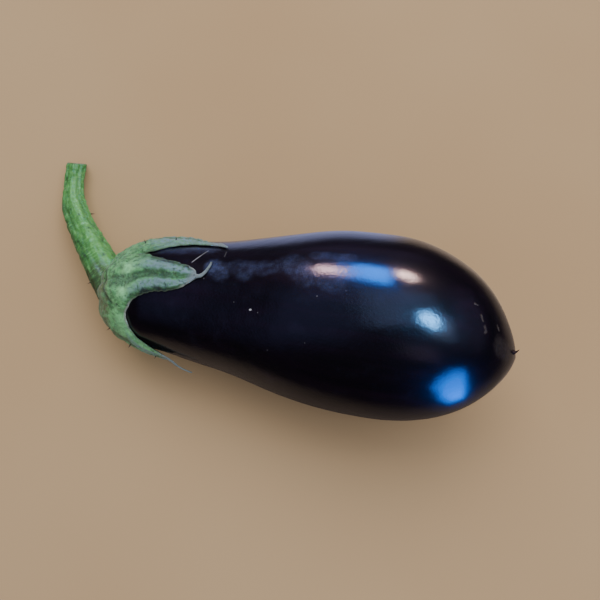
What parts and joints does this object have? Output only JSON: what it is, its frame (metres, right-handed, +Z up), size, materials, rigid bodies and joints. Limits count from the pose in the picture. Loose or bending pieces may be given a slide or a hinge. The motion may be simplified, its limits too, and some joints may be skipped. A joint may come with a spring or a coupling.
{
  "type": "eggplant",
  "caption": "Whole fresh eggplant lying on its side: glossy dark purple pear-shaped fruit, green lobed calyx and a curved cut stem.",
  "frame": {"origin": "on the surface it lies on, below the middle of the bounding box", "axes": "+X along the fruit from the stem end to the blossom end, +Z up, +Y to the side that the stem bends to"},
  "size_m": [0.272, 0.1218, 0.0958],
  "materials": {
    "skin": "smooth waxy skin, near-black purple, high gloss with a faint bloom",
    "calyx": "felted grey-green leaf tissue with raised ridges and pale margins",
    "stem": "ribbed bright green stem with pale flecks and a few dark pores",
    "dried": "dry brown flower rest"
  },
  "bodies": {
    "root": {"fruit": "skin", "calyx": "calyx", "stem": "stem", "style_remnant": "dried"}
  },
  "joints": []
}
